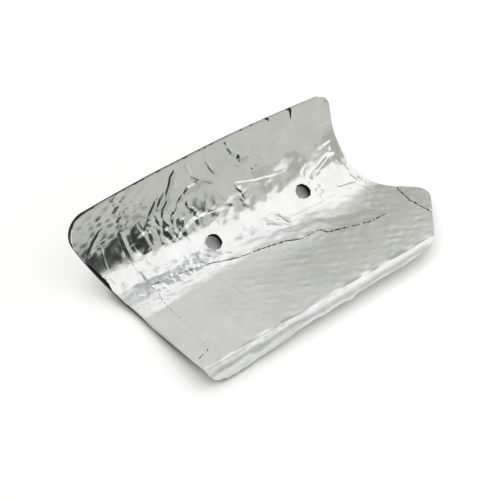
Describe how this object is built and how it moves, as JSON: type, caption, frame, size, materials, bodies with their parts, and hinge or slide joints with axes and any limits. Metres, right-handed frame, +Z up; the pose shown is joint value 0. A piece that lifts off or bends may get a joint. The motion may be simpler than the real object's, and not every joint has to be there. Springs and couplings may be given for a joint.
{
  "type": "exhaust heat shield",
  "caption": "Moulded heat shield bent round an exhaust pipe, with a folded front lip, a rounded nose at one end and bolt holes, lined on its hollow side with lapped crinkled foil.",
  "frame": {"origin": "on the table under the middle of the shield's box, where it lies with its hollow side up", "axes": "+X along the bend towards the nose, +Y from the lip back to the wall, +Z up"},
  "size_m": [0.167, 0.0874, 0.037],
  "materials": {
    "moulded_shell": "black moulded glass-filled resin, satin, with a slightly rough trimmed edge",
    "foil_cloth": "bright aluminium foil on glass cloth, dimpled by the weave and crinkled at the bend"
  },
  "bodies": {
    "root": {"shield_shell": "moulded_shell", "foil_floor_panel": "foil_cloth", "foil_upper_panel": "foil_cloth", "foil_left_strip": "foil_cloth", "foil_nose_patch": "foil_cloth"}
  },
  "joints": []
}
